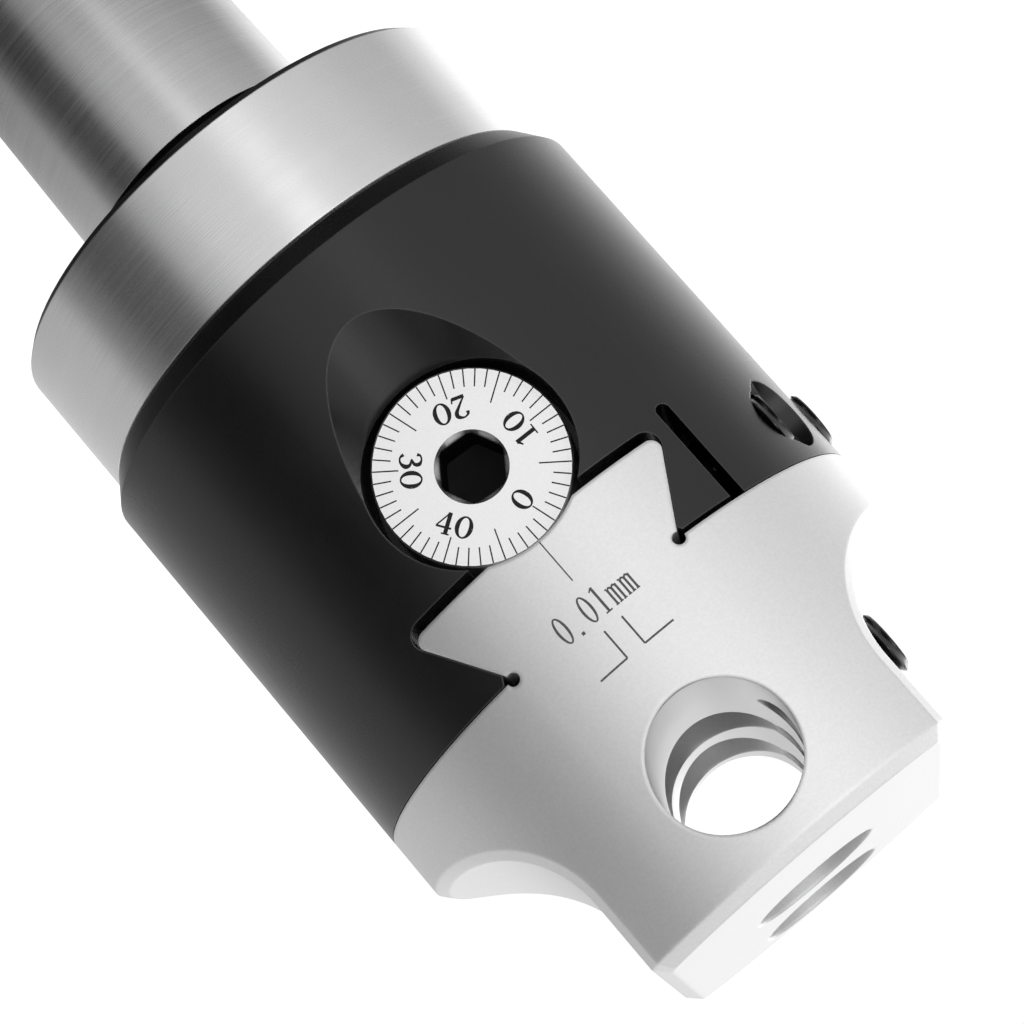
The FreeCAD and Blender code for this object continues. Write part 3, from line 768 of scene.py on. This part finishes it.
def add_camera():
    data = bpy.data.cameras.new("camera")
    data.sensor_width = 36.0
    data.lens = CAMERA_LENS
    data.clip_start = 0.01
    camera = bpy.data.objects.new("camera", data)
    aim = (CAMERA_TARGET - CAMERA_PLACE).to_track_quat("-Z", "Y").to_matrix().to_4x4()
    camera.matrix_world = Matrix.Translation(CAMERA_PLACE) @ aim @ Matrix.Rotation(CAMERA_ROLL, 4, "Z")
    bpy.context.scene.collection.objects.link(camera)
    bpy.context.scene.camera = camera


def add_softboxes():
    centre = Vector((0, 0, JOINT_Z / 2))
    for name, azimuth, elevation, distance, width, height, watts in SOFTBOXES:
        data = bpy.data.lights.new(name, "AREA")
        data.shape = "RECTANGLE"
        data.size = width
        data.size_y = height
        data.energy = watts
        a, e = math.radians(azimuth), math.radians(elevation)
        away = Vector((math.sin(a) * math.cos(e), -math.cos(a) * math.cos(e), math.sin(e)))
        lamp = bpy.data.objects.new(name, data)
        lamp.location = centre + away * distance
        lamp.rotation_euler = away.to_track_quat("Z", "Y").to_euler()
        bpy.context.scene.collection.objects.link(lamp)


def surround(shader, x, y):
    """Brightness of the studio around the object in the direction or place x, y."""
    azimuth = shader.math("ARCTAN2", x, shader.math("MULTIPLY", y, -1.0))
    ramp = shader.add("ShaderNodeValToRGB", {0: shader.between(azimuth, -math.pi, math.pi, 0.0, 1.0)})
    ramp.color_ramp.interpolation = "EASE"
    stops = ramp.color_ramp.elements
    while len(stops) < len(SURROUND):
        stops.new(0.5)
    for stop, (angle, brightness) in zip(stops, SURROUND):
        stop.position = (angle + 180) / 360
        stop.color = grey(brightness / SURROUND_PEAK)
    return shader.math("MULTIPLY", ramp.outputs[0], SURROUND_PEAK)


def add_floor():
    """Pale floor under the shank's end; it is white where nothing shades it, and metal mirrors the
    surround in it."""
    mesh = bpy.data.meshes.new("floor")
    angles = [math.tau * i / FLOOR_SIDES for i in range(FLOOR_SIDES)]
    rim = [(FLOOR_RADIUS * math.cos(a), FLOOR_RADIUS * math.sin(a), FLOOR_Z) for a in angles]
    mesh.from_pydata(rim, [], [tuple(range(FLOOR_SIDES))])
    floor = bpy.data.objects.new("floor", mesh)
    bpy.context.scene.collection.objects.link(floor)
    material, shader, place, (x, y, _) = new_material("floor_finish")
    path = shader.add("ShaderNodeLightPath").outputs
    tone = shader.grain(place, (3, 3, 3))
    paper = shader.add("ShaderNodeBsdfDiffuse", {
        "Color": shader.mix_colour(tone, grey(0.86), grey(0.90))})
    strength = shader.math("MULTIPLY", path["Is Camera Ray"], FLOOR_GLOW)
    glow = shader.add("ShaderNodeEmission", {"Color": grey(1.0), "Strength": strength})
    seen = shader.add("ShaderNodeAddShader", {0: paper.outputs[0], 1: glow.outputs[0]})
    from_axis = distance_from(shader, x, 0.0, y, 0.0)
    open_floor = shader.between(from_axis, *FLOOR_SHADE, FLOOR_DARKEST, 1.0, smooth=True)
    mirrored = shader.add("ShaderNodeEmission", {
        "Color": grey(1.0), "Strength": shader.math("MULTIPLY", surround(shader, x, y), open_floor)})
    in_mirror = shader.math("MAXIMUM", path["Is Glossy Ray"], path["Is Transmission Ray"])
    either = shader.add("ShaderNodeMixShader", {0: in_mirror, 1: seen.outputs[0], 2: mirrored.outputs[0]})
    shader.add("ShaderNodeOutputMaterial", {"Surface": either.outputs[0]})
    mesh.materials.append(material)


def add_world():
    """White for the camera, an uneven surround in reflections, and an even dimmer light elsewhere."""
    world = bpy.data.worlds.new("studio")
    world.use_nodes = True
    bpy.context.scene.world = world
    shader = Shader(world.node_tree)
    direction = shader.add("ShaderNodeTexCoord").outputs["Generated"]
    x, y, z = shader.add("ShaderNodeSeparateXYZ", {0: direction}).outputs
    overhead = shader.between(z, *OVERHEAD_HEIGHTS, 0.0, 1.0, smooth=True)
    studio = shader.mix_colour(overhead, surround(shader, x, y), grey(OVERHEAD))
    path = shader.add("ShaderNodeLightPath").outputs
    mirrored = shader.math("MAXIMUM", path["Is Glossy Ray"], path["Is Transmission Ray"])
    unseen = shader.mix_colour(mirrored, grey(AMBIENT), studio)
    colour = shader.mix_colour(path["Is Camera Ray"], unseen, grey(1.0))
    background = shader.add("ShaderNodeBackground", {"Color": colour, "Strength": 1.0})
    shader.add("ShaderNodeOutputWorld", {"Surface": background.outputs[0]})


finish_cad_nodes()
add_screws()
add_dial()
add_slide_marks()
add_camera()
add_softboxes()
add_floor()
add_world()
bpy.context.scene.view_settings.view_transform = "Standard"
